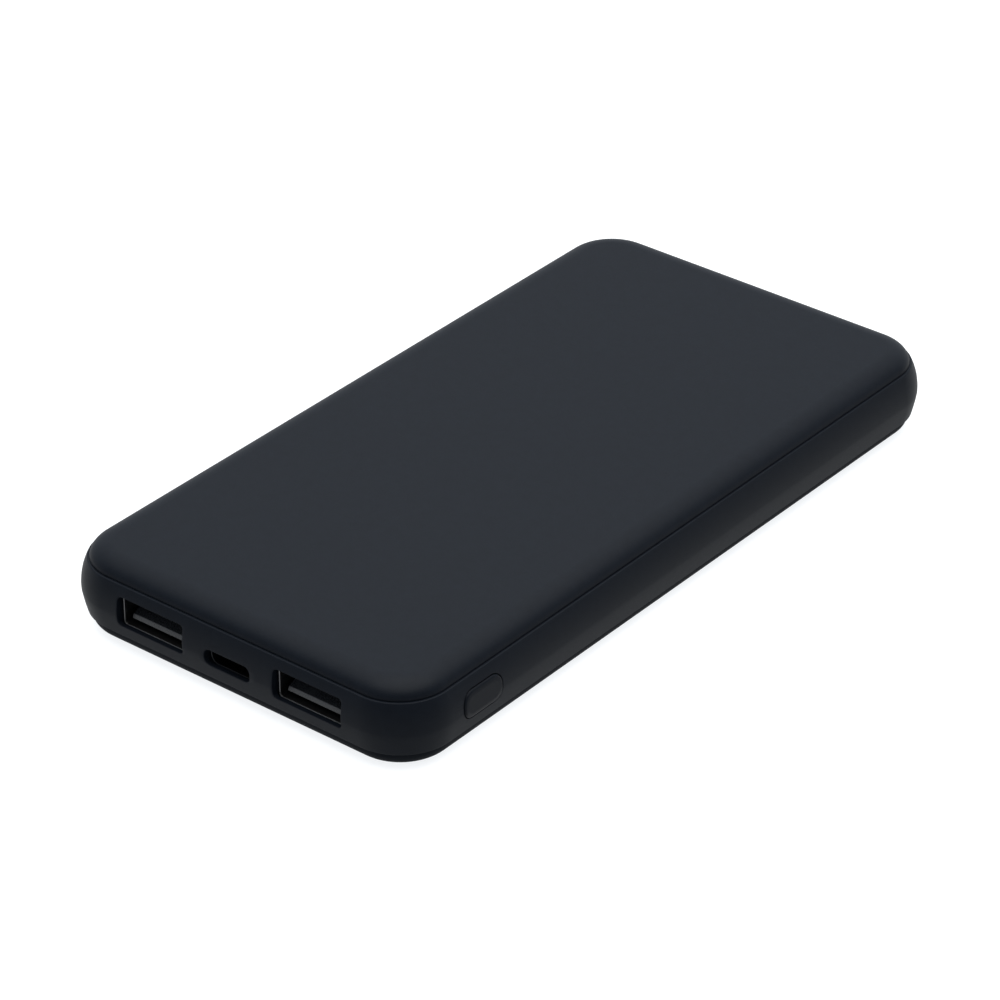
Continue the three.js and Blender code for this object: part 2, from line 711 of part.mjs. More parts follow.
const LEAD = { x: 3.4, radius: 0.65, back: -39.8, front: -43.8, rise: 2.1 };

// A lead leaves the protection board upwards, arches forward and comes down on the main board.
function makeLead(x) {
  const { radius, back, front, rise } = LEAD;
  const from = PROTECTION_BOARD.top;
  const route = new THREE.CatmullRomCurve3([
    new THREE.Vector3(x, back, from + 0.15),
    new THREE.Vector3(x, back, from + 0.9),
    new THREE.Vector3(x, (back + front) / 2, from + rise),
    new THREE.Vector3(x, front, ON_BOARD + 1.2),
    new THREE.Vector3(x, front, ON_BOARD + 0.1),
  ]);
  const section = new THREE.Shape();
  section.absarc(0, 0, radius, 0, 2 * Math.PI);
  return new THREE.ExtrudeGeometry(section, { steps: 14, curveSegments: 8, extrudePath: route });
}

add("protection_board", makeProtectionBoard(), BOARD_GREEN);
add("lead_positive", makeLead(LEAD.x), LEAD_RED);
add("lead_negative", makeLead(-LEAD.x), LEAD_BLACK);

// Tape and foam lie in the middle of the cells' length.
function makePad([halfX, halfY], bottom, thickness) {
  return blockOn(0, (CELL.front + CELL.back) / 2, bottom, [2 * halfX, 2 * halfY, thickness]);
}

const betweenCells = CELL_BOTTOM.lower + CELL.thickness + CONTACT_GAP;
const aboveCells = CELL_BOTTOM.upper + CELL.thickness + CONTACT_GAP;
add("cell_tape_between", makePad([24, 43], betweenCells, 0.2), TAPE_WHITE);
add("cell_tape_floor", makePad([22, 41], COVER_WALL + CONTACT_GAP, 0.2), TAPE_WHITE);
add("foam_pad", makePad([22, 39], aboveCells, 0.6), FOAM_BLACK);

export default bank;
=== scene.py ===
"""Looks of the power bank: fine case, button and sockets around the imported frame."""

import math
from typing import NamedTuple

import bmesh
import bpy
from mathutils import Matrix, Vector


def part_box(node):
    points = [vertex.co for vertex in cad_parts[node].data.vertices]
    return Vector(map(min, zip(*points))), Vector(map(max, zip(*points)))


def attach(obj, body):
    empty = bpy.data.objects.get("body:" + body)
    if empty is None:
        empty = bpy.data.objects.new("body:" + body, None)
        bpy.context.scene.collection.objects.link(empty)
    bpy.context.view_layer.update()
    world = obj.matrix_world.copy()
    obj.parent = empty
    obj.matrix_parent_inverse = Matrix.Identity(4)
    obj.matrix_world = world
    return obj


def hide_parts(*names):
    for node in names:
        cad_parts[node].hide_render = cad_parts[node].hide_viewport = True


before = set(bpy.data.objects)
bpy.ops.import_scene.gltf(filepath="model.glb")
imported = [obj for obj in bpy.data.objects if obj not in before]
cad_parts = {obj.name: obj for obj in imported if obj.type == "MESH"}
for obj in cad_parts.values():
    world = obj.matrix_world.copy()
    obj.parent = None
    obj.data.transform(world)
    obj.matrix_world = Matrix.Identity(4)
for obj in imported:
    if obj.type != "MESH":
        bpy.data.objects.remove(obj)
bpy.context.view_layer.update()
scene = bpy.context.scene

# Shapes are made in millimetres and scaled to metres when they are finished.
MM = 0.001

# ---- Sizes taken from the frame --------------------------------------------------------------


def box_mm(node):
    """The lowest and highest corner of a CAD node, in millimetres."""
    low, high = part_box(node)
    return low / MM, high / MM


HALF_X, HALF_Y, _ = box_mm("middle_frame")[1]
FRONT_Y = -HALF_Y
HEIGHT = box_mm("top_cover")[1].z
STEM_END_X = box_mm("switch_stem")[1].x

# ---- Shape of the case, in millimetres -------------------------------------------------------

CORNER_RADIUS = 9.9
CORNER_STEPS = 18
SIDE_STEPS = (36, 40)

# The band's side bulges: it is widest at BULGE_Z and comes in towards both edges.
BAND_TOP = 11.63
BAND_BOTTOM = 2.92
BULGE_Z = 6.68
BULGE_POWER_ABOVE = 2.2
BULGE_POWER_BELOW = 1.3
BAND_INSET_AT_TOP = 1.115
BAND_INSET_AT_BOTTOM = 0.75
BAND_INNER_INSET = 2.4
BAND_LEVELS = 34
BAND_TOP_RADIUS = 0.12
BAND_BOTTOM_RADIUS = 0.06
BAND_INNER_RADIUS = 0.1

# The covers start a little further in, and curve over to their flat faces.
TOP_COVER = {"seam": 11.67, "inset": 1.5, "plateau": 5.4, "power": 2.0}
BOTTOM_COVER = {"seam": 2.8, "inset": 1.32, "plateau": 5.1, "power": 2.5}
COVER_EDGE_STEPS = 18
COVER_LIP_RADIUS = 0.1
COVER_WALL = 1.1
FACE_RIM = 1.5
CEILING_INSET = 6.0
CEILING_RADIUS = 0.8
CEILING_RIM = 1.4

# Each cover has a skirt that reaches into the band, shallow beside the sockets and the button.
SKIRT_OUTER_INSET = 2.7
SKIRT_INNER_INSET = 3.7
SKIRT_DRAFT = 0.1
SKIRT_DEPTH = 1.4
SKIRT_DEPTH_AT_SOCKETS = 0.5
SKIRT_CUT_DEPTH = 3
SKIRT_FRONT_END = -42.5
SKIRT_ROOT_RADIUS = 0.1
SKIRT_END_RADIUS = 0.15
SKIRT_BEND_RADIUS = 0.3


def band_inset(z):
    """How far the band's side lies inside its widest outline at height z."""
    if z > BULGE_Z:
        reach = (z - BULGE_Z) / (BAND_TOP - BULGE_Z)
        return BAND_INSET_AT_TOP * reach**BULGE_POWER_ABOVE
    reach = (BULGE_Z - z) / (BULGE_Z - BAND_BOTTOM)
    return BAND_INSET_AT_BOTTOM * reach**BULGE_POWER_BELOW


# ---- Mesh helpers ----------------------------------------------------------------------------

# How finely the small rounded rectangles are divided.
FINE_CORNER_STEPS = 8
PLAIN_CORNER_STEPS = 6


class Rounded(NamedTuple):
    """A rounded rectangle, as half its width, half its height and its corners' radius."""

    half_a: float
    half_b: float
    radius: float

    def grown(self, growth):
        """The rectangle with its outline moved outwards."""
        return Rounded(self.half_a + growth, self.half_b + growth, self.radius + growth)


CASE_PLAN = Rounded(HALF_X, HALF_Y, CORNER_RADIUS)


def rounded_ring(rectangle, corner_steps, side_steps):
    """Points (a, b) round a rounded rectangle, anticlockwise, each side evenly divided."""
    half_a, half_b, radius = rectangle
    points = []
    corners = ((1, 1), (-1, 1), (-1, -1), (1, -1))
    for index, (sign_a, sign_b) in enumerate(corners):
        centre = Vector((sign_a * (half_a - radius), sign_b * (half_b - radius)))
        arc = []
        for step in range(corner_steps + 1):
            angle = math.pi / 2 * (index + step / corner_steps)
            arc.append(centre + radius * Vector((math.cos(angle), math.sin(angle))))
        points.extend(arc)
        next_a, next_b = corners[(index + 1) % 4]
        next_centre = Vector((next_a * (half_a - radius), next_b * (half_b - radius)))
        next_angle = math.pi / 2 * (index + 1)
        next_start = next_centre + radius * Vector((math.cos(next_angle), math.sin(next_angle)))
        steps = side_steps[index % 2]
        points.extend(arc[-1].lerp(next_start, step / steps) for step in range(1, steps))
    return points


def case_ring(inset, z):
    """The case's plan outline moved inwards by inset, at height z."""
    outline = rounded_ring(CASE_PLAN.grown(-inset), CORNER_STEPS, SIDE_STEPS)
    return [Vector((x, y, z)) for x, y in outline]


def softened(profile, steps=4):
    """The points of a profile of (a, b, radius) corners, each rounded where radius isn't 0."""
    points = []
    for index, (a, b, radius) in enumerate(profile):
        here = Vector((a, b))
        if not radius:
            points.append(here)
            continue
        before = Vector(profile[index - 1][:2])
        after = Vector(profile[(index + 1) % len(profile)][:2])
        start = here + (before - here).normalized() * radius
        end = here + (after - here).normalized() * radius
        for step in range(steps + 1):
            t = step / steps
            points.append(start * (1 - t) ** 2 + here * 2 * t * (1 - t) + end * t**2)
    return points


def loft(bm, rings, closed=False):
    """Quads between rings of the same number of points: a ring of rings, or capped at its ends."""
    rows = [[bm.verts.new(point) for point in ring] for ring in rings]
    pairs = list(zip(rows, rows[1:]))
    if closed:
        pairs.append((rows[-1], rows[0]))
    else:
        bm.faces.new(rows[0])
        bm.faces.new(reversed(rows[-1]))
    for lower, upper in pairs:
        for index, vert in enumerate(lower):
            after = (index + 1) % len(lower)
            bm.faces.new((vert, upper[index], upper[after], lower[after]))


def straight_along_y(bm, section, x, z, y0, y1):
    """A straight bar with a rounded section, centred on x and z."""
    outline = rounded_ring(section, PLAIN_CORNER_STEPS, (1, 1))
    loft(bm, [[Vector((x + a, y, z + b)) for a, b in outline] for y in (y0, y1)])


def block(bm, low, high):
    """A block between two opposite corners."""
    low, high = Vector(low), Vector(high)
    size = Matrix.Diagonal((*(high - low), 1))
    bmesh.ops.create_cube(bm, size=1, matrix=Matrix.Translation((low + high) / 2) @ size)


def solid(make, *arguments):
    """A loose object, still in millimetres, from a function that fills a bmesh."""
    bm = bmesh.new()
    make(bm, *arguments)
    bmesh.ops.recalc_face_normals(bm, faces=bm.faces)
    if bm.calc_volume(signed=True) < 0:
        bmesh.ops.reverse_faces(bm, faces=bm.faces)
    mesh = bpy.data.meshes.new("shape")
    bm.to_mesh(mesh)
    bm.free()
    shape = bpy.data.objects.new("shape", mesh)
    scene.collection.objects.link(shape)
    return shape


def combine(shape, tools, operation):
    """Adds the tools to the shape, or cuts them from it, and removes them."""
    for tool in tools:
        modifier = shape.modifiers.new("combine", "BOOLEAN")
        modifier.operation = operation
        modifier.solver = "EXACT"
        modifier.object = tool
    graph = bpy.context.evaluated_depsgraph_get()
    mesh = bpy.data.meshes.new_from_object(shape.evaluated_get(graph))
    shape.modifiers.clear()
    shape.data = mesh
    for tool in tools:
        bpy.data.objects.remove(tool)
    return shape


def cut(shape, *tools):
    """The shape without the tools."""
    return combine(shape, tools, "DIFFERENCE")


def join(shape, *tools):
    """The shape and the tools as one."""
    return combine(shape, tools, "UNION")


SMOOTH_ANGLE = math.radians(32)
WELD_DISTANCE = 1e-4
SHORTEST_EDGE = 1e-5


def finish_piece(shape, name, body, material, slot, *nodes):
    """Turns a shape into a named piece that rides on a body and stands for CAD nodes."""
    bm = bmesh.new()
    bm.from_mesh(shape.data)
    bmesh.ops.remove_doubles(bm, verts=bm.verts, dist=WELD_DISTANCE)
    bmesh.ops.dissolve_degenerate(bm, edges=bm.edges, dist=SHORTEST_EDGE)
    bmesh.ops.transform(bm, matrix=Matrix.Scale(MM, 4), verts=bm.verts)
    bm.to_mesh(shape.data)
    bm.free()
    shape.name = name
    shape.data.name = name
    shape.data.materials.clear()
    shape.data.materials.append(material)
    shape.data.shade_smooth()
    shape.data.set_sharp_from_angle(angle=SMOOTH_ANGLE)
    shading = shape.modifiers.new("even_shading", "WEIGHTED_NORMAL")
    shading.keep_sharp = True
    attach(shape, body)
    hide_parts(*nodes)


# ---- Materials -------------------------------------------------------------------------------

# Nearly all of a noise lies between these two values.
NOISE_LOW = 0.3
NOISE_HIGH = 0.7

# Patches of slightly different colour are this many grains across.
PATCH_GRAINS = 12


def node_material(name):
    """A new material with its node tree and its Principled shader."""
    material = bpy.data.materials.new(name)
    material.use_nodes = True
    tree = material.node_tree
    return material, tree, tree.nodes["Principled BSDF"]


def set_values(shader, **values):
    """Sets the shader's inputs by name, with underscores for spaces."""
    for key, value in values.items():
        shader.inputs[key.replace("_", " ")].default_value = value


def noise(tree, scale_mm, detail, stretch=(1, 1, 1)):
    """Noise in the object's own coordinates, with features about scale_mm across."""
    coordinates = tree.nodes.new("ShaderNodeTexCoord")
    mapping = tree.nodes.new("ShaderNodeMapping")
    mapping.inputs["Scale"].default_value = stretch
    texture = tree.nodes.new("ShaderNodeTexNoise")
    texture.inputs["Scale"].default_value = 1 / (scale_mm * MM)
    texture.inputs["Detail"].default_value = detail
    tree.links.new(coordinates.outputs["Object"], mapping.inputs["Vector"])
    tree.links.new(mapping.outputs["Vector"], texture.inputs["Vector"])
    return texture.outputs["Fac"]


def ramp(tree, source, low, high):
    """Turns a noise into a colour between low and high."""
    node = tree.nodes.new("ShaderNodeValToRGB")
    start, end = node.color_ramp.elements
    start.position = NOISE_LOW
    end.position = NOISE_HIGH
    start.color = (*low, 1)
    end.color = (*high, 1)
    tree.links.new(source, node.inputs["Fac"])
    return node.outputs["Color"]


def spread(tree, source, low, high):
    """Turns a noise into a number between low and high."""
    node = tree.nodes.new("ShaderNodeMapRange")
    node.inputs["From Min"].default_value = NOISE_LOW
    node.inputs["From Max"].default_value = NOISE_HIGH
    node.inputs["To Min"].default_value = low
    node.inputs["To Max"].default_value = high
    tree.links.new(source, node.inputs["Value"])
    return node.outputs["Result"]


def bump(tree, shader, source, height_mm):
    """Raises the surface by up to height_mm where source is 1."""
    node = tree.nodes.new("ShaderNodeBump")
    node.inputs["Distance"].default_value = height_mm * MM
    tree.links.new(source, node.inputs["Height"])
    tree.links.new(node.outputs["Normal"], shader.inputs["Normal"])


def textured(name, low, high, grain_mm, roughness, bump_mm, stretch=(1, 1, 1), **values):
    """A material whose colour, roughness and relief vary over two sizes of grain."""
    material, tree, shader = node_material(name)
    set_values(shader, **values)
    patches = noise(tree, grain_mm * PATCH_GRAINS, detail=2)
    grain = noise(tree, grain_mm, detail=3, stretch=stretch)
    tree.links.new(ramp(tree, patches, low, high), shader.inputs["Base Color"])
    tree.links.new(spread(tree, grain, *roughness), shader.inputs["Roughness"])
    bump(tree, shader, grain, bump_mm)
    return material


SOFT_TOUCH = textured(
    "soft_touch",
    (0.0023, 0.0035, 0.0058),
    (0.0027, 0.0041, 0.0067),
    grain_mm=0.12,
    roughness=(0.46, 0.56),
    bump_mm=0.002,
    Specular_IOR_Level=0.06,
)
# Painted shade: the bottom cover's plastic reflects far less than the soft-touch (Specular IOR
# Level 0.025), standing in for the shaded floor under the case's edge that the cover's edge
# reflects.
BOTTOM_PLASTIC_PAINTED_SHADE = textured(
    "bottom_plastic_painted_shade",
    (0.0034, 0.0045, 0.0064),
    (0.0042, 0.0054, 0.0074),
    grain_mm=0.12,
    roughness=(0.5, 0.6),
    bump_mm=0.002,
    Specular_IOR_Level=0.025,
)
BUTTON_PLASTIC = textured(
    "button_plastic",
    (0.0018, 0.0028, 0.0047),
    (0.0022, 0.0033, 0.0055),
    grain_mm=0.1,
    roughness=(0.42, 0.52),
    bump_mm=0.002,
    Specular_IOR_Level=0.06,
)
SOCKET_STEEL = textured(
    "socket_steel",
    (0.084, 0.085, 0.087),
    (0.098, 0.099, 0.102),
    grain_mm=0.06,
    roughness=(0.28, 0.42),
    bump_mm=0.001,
    stretch=(1, 0.15, 1),
    Metallic=1.0,
)
SOCKET_STEEL_DARK = textured(
    "socket_steel_dark",
    (0.020, 0.021, 0.023),
    (0.028, 0.029, 0.031),
    grain_mm=0.06,
    roughness=(0.32, 0.46),
    bump_mm=0.001,
    stretch=(1, 0.15, 1),
    Metallic=1.0,
)
SOCKET_PLASTIC = textured(
    "socket_plastic",
    (0.012, 0.0135, 0.016),
    (0.017, 0.019, 0.022),
    grain_mm=0.15,
    roughness=(0.24, 0.34),
    bump_mm=0.002,
)
CONTACT_GOLD = textured(
    "contact_gold",
    (0.72, 0.48, 0.16),
    (0.80, 0.56, 0.22),
    grain_mm=0.05,
    roughness=(0.2, 0.34),
    bump_mm=0.001,
    stretch=(1, 0.2, 1),
    Metallic=1.0,
)

# ---- Openings of the band --------------------------------------------------------------------

# An opening's edge is rounded up to FILLET_LAST_ANGLE, and flares on until it is clear of the side.
FILLET_STEPS = 4
FILLET_LAST_ANGLE = math.radians(72)
FLARE_RISE = 0.25
OPENING_FILLET = 0.1
OPENING_DEPTH = 6
CUTTER_SIDE_STEPS = (4, 14)
CUTTER_OVERHANG = 1

# The sockets sit in pockets behind their openings, a little to the right of the openings' middles.
USB_A_OPENINGS_X = {"left": -15.45, "right": 15.45}
USB_A_OPENING = Rounded(6.58, 2.47, 0.72)
USB_A_OPENING_Z = 7.53
USB_A_POCKET = Rounded(6.85, 3.15, 0.7)
USB_A_Z = 7.66
USB_C_OPENING = Rounded(4.5, 1.37, 1.1)
USB_C_POCKET = Rounded(4.77, 1.88, 1.8)
USB_C_Z = 6.85
SOCKET_SHIFT = 0.3
SOCKET_FRONT = FRONT_Y + 1.15
POCKET_FRONT = SOCKET_FRONT - 0.1
POCKET_BACK = FRONT_Y + OPENING_DEPTH

BUTTON_Y = -50.55
BUTTON_Z = 7.45
BUTTON_OPENING = Rounded(4.55, 2.55, 2.2)
# The fillet widens the cutter towards the outside, so it starts narrower than the opening.
BUTTON_CUTTER = Rounded(
    BUTTON_OPENING.half_a - OPENING_FILLET,
    BUTTON_OPENING.half_b - OPENING_FILLET,
    BUTTON_OPENING.radius,
)


def fillet_sections():
    """(depth below the surface, growth of the outline) up the last of an opening's wall."""
    sections = []
    for step in range(FILLET_STEPS + 1):
        angle = FILLET_LAST_ANGLE * step / FILLET_STEPS
        below = OPENING_FILLET * (1 - math.sin(angle))
        growth = OPENING_FILLET * (1 - math.cos(angle))
        sections.append((below, growth))
    flare = FLARE_RISE * math.tan(FILLET_LAST_ANGLE)
    sections.append((below - FLARE_RISE, growth + flare))
    return sections


def opening_cutter(bm, opening, centre_a, centre_z, place):
    """A tool that flares where it leaves the bulged side, so that the opening has a soft edge."""

    def ring(growth, inwards_at):
        outline = rounded_ring(opening.grown(growth), FINE_CORNER_STEPS, CUTTER_SIDE_STEPS)
        points = [(centre_a + a, centre_z + b) for a, b in outline]
        return [place(a, z, inwards_at(z)) for a, z in points]

    rings = [ring(0, lambda z: OPENING_DEPTH)]
    for below, growth in fillet_sections():
        rings.append(ring(growth, lambda z, below=below: band_inset(z) + below))
    rings.append(ring(growth, lambda z: -CUTTER_OVERHANG))
    loft(bm, rings)


def on_front(x, z, inwards):
    """A point on the socket end, some way inwards from its widest outline."""
    return Vector((x, FRONT_Y + inwards, z))


def on_button_side(y, z, inwards):
    """A point on the button's side, some way inwards from its widest outline."""
    return Vector((HALF_X - inwards, y, z))


def band_tools():
    """The openings for the sockets and the button, and the pockets behind the sockets' openings."""
    tools = []
    for x in USB_A_OPENINGS_X.values():
        tools.append(solid(opening_cutter, USB_A_OPENING, x, USB_A_OPENING_Z, on_front))
        place = (x + SOCKET_SHIFT, USB_A_Z, POCKET_FRONT, POCKET_BACK)
        tools.append(solid(straight_along_y, USB_A_POCKET, *place))
    tools.append(solid(opening_cutter, USB_C_OPENING, 0, USB_C_Z, on_front))
    place = (SOCKET_SHIFT, USB_C_Z, POCKET_FRONT, POCKET_BACK)
    tools.append(solid(straight_along_y, USB_C_POCKET, *place))
    tools.append(solid(opening_cutter, BUTTON_CUTTER, BUTTON_Y, BUTTON_Z, on_button_side))
    return tools


# ---- Band ------------------------------------------------------------------------------------


def make_band(bm):
    """A closed ring: up the bulged outside, over the top edge, down the inside and back."""
    outside = []
    for index in range(1, BAND_LEVELS):
        z = BAND_BOTTOM + (BAND_TOP - BAND_BOTTOM) * index / BAND_LEVELS
        # points that the rounded edges reach past are left out
        if BAND_BOTTOM + BAND_BOTTOM_RADIUS < z < BAND_TOP - BAND_TOP_RADIUS:
            outside.append((band_inset(z), z, 0))
    profile = [
        (band_inset(BAND_BOTTOM), BAND_BOTTOM, BAND_BOTTOM_RADIUS),
        *outside,
        (band_inset(BAND_TOP), BAND_TOP, BAND_TOP_RADIUS),
        (BAND_INNER_INSET, BAND_TOP, BAND_INNER_RADIUS),
        (BAND_INNER_INSET, BAND_BOTTOM, BAND_INNER_RADIUS),
    ]
    loft(bm, [case_ring(inset, z) for inset, z in softened(profile)], closed=True)


band = cut(solid(make_band), *band_tools())
finish_piece(band, "case_band", "body", SOFT_TOUCH, "case", "middle_frame")

# ---- Covers ----------------------------------------------------------------------------------


def cover_edge(cover, face_z):
    """The cover's rounded edge as (inset, z, 0) points, from its seam to its flat face."""
    power = cover["power"]
    rise = face_z - cover["seam"]
    depth = cover["plateau"] - cover["inset"]
    points = []
    for step in range(1, COVER_EDGE_STEPS + 1):
        angle = math.pi / 2 * step / COVER_EDGE_STEPS
        across = 1 - math.cos(angle) ** (2 / power)
        up = math.sin(angle) ** (2 / power)
        points.append((cover["inset"] + depth * across, cover["seam"] + rise * up, 0))
    return points


def make_cover(bm, cover, face_z, band_edge):
    """A closed shell: flat face, rounded edge, lip, skirt into the band, and hollow inside."""
    outwards = 1 if face_z > band_edge else -1
    seam = cover["seam"]
    ceiling = face_z - outwards * COVER_WALL
    skirt_end = band_edge - outwards * SKIRT_DEPTH
    profile = [
        (cover["plateau"] + FACE_RIM, face_z, 0),
        *reversed(cover_edge(cover, face_z)),
        (cover["inset"], seam, COVER_LIP_RADIUS),
        (SKIRT_OUTER_INSET, seam, SKIRT_ROOT_RADIUS),
        (SKIRT_OUTER_INSET, skirt_end, SKIRT_END_RADIUS),
        (SKIRT_INNER_INSET, skirt_end, SKIRT_END_RADIUS),
        (SKIRT_INNER_INSET + SKIRT_DRAFT, seam, SKIRT_BEND_RADIUS),
        (CEILING_INSET, ceiling, CEILING_RADIUS),
        (CEILING_INSET + CEILING_RIM, ceiling, 0),
    ]
    loft(bm, [case_ring(inset, z) for inset, z in softened(profile)])


def skirt_cutter(bm, near, far):
    """A block over the socket end and the button, between two heights."""
    low, high = sorted((near, far))
    block(bm, (-HALF_X, FRONT_Y, low), (HALF_X, SKIRT_FRONT_END, high))


def cover_shell(cover, face_z, band_edge):
    """A cover whose skirt is shallow beside the sockets and the button."""
    outwards = 1 if face_z > band_edge else -1
    near = band_edge - outwards * SKIRT_DEPTH_AT_SOCKETS
    far = band_edge - outwards * SKIRT_CUT_DEPTH
    return cut(solid(make_cover, cover, face_z, band_edge), solid(skirt_cutter, near, far))


top = cover_shell(TOP_COVER, HEIGHT, BAND_TOP)
finish_piece(top, "case_top", "body", SOFT_TOUCH, "case", "top_cover")
# The bottom cover's material carries painted shade: it reflects less, in place of the shaded floor
# under its edge.
bottom = cover_shell(BOTTOM_COVER, 0, BAND_BOTTOM)
finish_piece(bottom, "case_bottom", "body", BOTTOM_PLASTIC_PAINTED_SHADE, "case", "bottom_cover")

# ---- Button ----------------------------------------------------------------------------------

BUTTON_GAP = 0.25
BUTTON_PROUD = 0.2
CAP = BUTTON_OPENING.grown(-BUTTON_GAP)
CAP_BACK_X = 32.3
CAP_EDGE = 0.35
CAP_EDGE_STEPS = 6
# Rings this far inside the cap's outline let its face follow the band's bulge.
CAP_FACE_RINGS = (0.7, 0.95)
FLANGE = Rounded(5.2, 3.2, 1.0)
FLANGE_THICKNESS = 0.8
NUB = Rounded(1.3, 1.0, 0.6)
NUB_EDGE = 0.1
NUB_GAP = 0.3
BUTTON_SIDE_STEPS = (10, 6)


def make_button(bm):
    """Nub, flange and cap in one, from the inside outwards; the face follows the band's side."""
    rings = []

    def add_ring(section, x_at):
        outline = rounded_ring(section, FINE_CORNER_STEPS, BUTTON_SIDE_STEPS)
        places = [(BUTTON_Y + a, BUTTON_Z + b) for a, b in outline]
        rings.append([Vector((x_at(z), y, z)) for y, z in places])

    nub_end = STEM_END_X + NUB_GAP
    flange_inner = CAP_BACK_X - FLANGE_THICKNESS
    for section, x in (
        (NUB.grown(-NUB_EDGE), nub_end),
        (NUB, nub_end + NUB_EDGE),
        (NUB, flange_inner),
        (FLANGE, flange_inner),
        (FLANGE, CAP_BACK_X),
        (CAP, CAP_BACK_X),
    ):
        add_ring(section, lambda z, x=x: x)
    for step in range(CAP_EDGE_STEPS + 1):
        angle = math.pi / 2 * step / CAP_EDGE_STEPS
        shrink = CAP_EDGE * (1 - math.cos(angle))
        drop = CAP_EDGE * (1 - math.sin(angle))
        face = HALF_X + BUTTON_PROUD - drop
        add_ring(CAP.grown(-shrink), lambda z, face=face: face - band_inset(z))
    for shrink in CAP_FACE_RINGS:
        add_ring(CAP.grown(-shrink), lambda z: HALF_X + BUTTON_PROUD - band_inset(z))
    loft(bm, rings)


button = solid(make_button)
finish_piece(button, "button_cap", "button", BUTTON_PLASTIC, "button", "power_button")

# ---- Parts that all sockets have -------------------------------------------------------------

SHEET = 0.3
RIM_RADIUS = 0.11
TUBE_SIDE_STEPS = (6, 4)
LEG_HALF_WIDTH = 0.9
LEG_THICKNESS = 0.28
LEG_END = 2.9
# How far a moulded part stays off its shell, and off the shell's rear end.
MOULDING_GAP = 0.1
MOULDING_END_GAP = 0.05


def make_tube(bm, inner, x, z, back):
    """A folded or drawn shell, open at both ends, with rounded rims."""

    def section(growth, y):
        outline = rounded_ring(inner.grown(growth), FINE_CORNER_STEPS, TUBE_SIDE_STEPS)
        return [Vector((x + a, y, z + b)) for a, b in outline]

    profile = [
        (0, SOCKET_FRONT, RIM_RADIUS),
        (0, back, RIM_RADIUS),
        (SHEET, back, RIM_RADIUS),
        (SHEET, SOCKET_FRONT, RIM_RADIUS),
    ]
    loft(bm, [section(growth, y) for growth, y in softened(profile)], closed=True)


def legs(inner, x, z, leg_y):
    """One solder leg down each side of a shell."""
    found = []
    for side in (-1, 1):
        outer = x + side * (inner.half_a + SHEET)
        low_x, high_x = sorted((outer, outer - side * LEG_THICKNESS))
        low = (low_x, leg_y - LEG_HALF_WIDTH, LEG_END)
        high = (high_x, leg_y + LEG_HALF_WIDTH, z)
        found.append(solid(block, low, high))
    return found


def strip_along_y(bm, points, thickness, x, width):
    """A bent strip of sheet: a line of (y, z) points with a thickness, width wide across x."""
    upper = [Vector(point) for point in points]
    lower = [point + Vector((0, thickness)) for point in reversed(upper)]
    outline = upper + lower
    ends = (x - width / 2, x + width / 2)
    loft(bm, [[Vector((end, y, z)) for y, z in outline] for end in ends])


# ---- USB-A sockets ---------------------------------------------------------------------------

USB_A_INNER = Rounded(6.25, 2.55, 0.45)
USB_A_BACK = SOCKET_FRONT + 14
USB_A_LEGS_Y = SOCKET_FRONT + 5

# A finger's line from its root, as (distance behind the mouth, distance in from the wall).
FINGER_LINE = ((8.2, 0), (5.4, 0.42), (4.6, 0.58), (3.9, 0.42), (3.3, 0.2))
FINGER_ROOT = SHEET / 3
FINGER_THICKNESS = 0.14
FINGER_WIDTH = 1.7
FINGER_OFFSETS = (-2.9, 2.9)

TONGUE_HALF_X = 5.55
TONGUE_BOTTOM = USB_A_Z - 1.83
TONGUE_TOP = USB_A_Z + 0.01
TONGUE_FRONT = SOCKET_FRONT + 0.85
TONGUE_BACK = USB_A_BACK - 2.5
TONGUE_EDGE = 0.07
NOSE_TOP = TONGUE_BOTTOM + 0.78
NOSE_LEAN = 0.27
NOSE_FOOT_RISE = 0.1
NOSE_FOOT_DEPTH = 0.12
NOSE_FOOT_RADIUS = 0.06
NOSE_TOP_RADIUS = 0.08
SLOPE_LENGTH = 2.6
SLOPE_RADIUS = 0.2

REAR_BLOCK = Rounded(USB_A_INNER.half_a - MOULDING_GAP, USB_A_INNER.half_b - MOULDING_GAP, 0.4)
REAR_BLOCK_FRONT = USB_A_BACK - 3.6

CONTACT_OFFSETS = (-3.5, -1, 1, 3.5)
CONTACT_START = TONGUE_FRONT + 3.2
CONTACT_END = USB_A_BACK - 3.75
CONTACT_FLOOR = TONGUE_TOP + 0.05
CONTACT_THICKNESS = 0.2
CONTACT_WIDTH = 1.0
CONTACT_DIP = 0.04
# The hump's two ends, and the end of the flat behind it, as distances behind the contact's start.
HUMP_START = 0.6
HUMP_END = 3.0
HUMP_HEIGHT = 0.34
HUMP_POWER = 1.5
HUMP_STEPS = 10
FLAT_START = 3.4

GROOVE_HALF_WIDTH = 0.62
GROOVE_DEPTH = 0.12
GROOVE_CLEARANCE = 0.1
GROOVE_END = REAR_BLOCK_FRONT - 0.05


def spring_fingers(x):
    """Two sprung fingers in the upper wall and two in the lower, rooted in the shell."""
    fingers = []
    for side in (1, -1):
        wall = USB_A_Z + side * (USB_A_INNER.half_b + FINGER_ROOT)
        line = [(SOCKET_FRONT + behind, wall - side * inwards) for behind, inwards in FINGER_LINE]
        for offset in FINGER_OFFSETS:
            place = (side * FINGER_THICKNESS, x + offset, FINGER_WIDTH)
            fingers.append(solid(strip_along_y, line, *place))
    return fingers


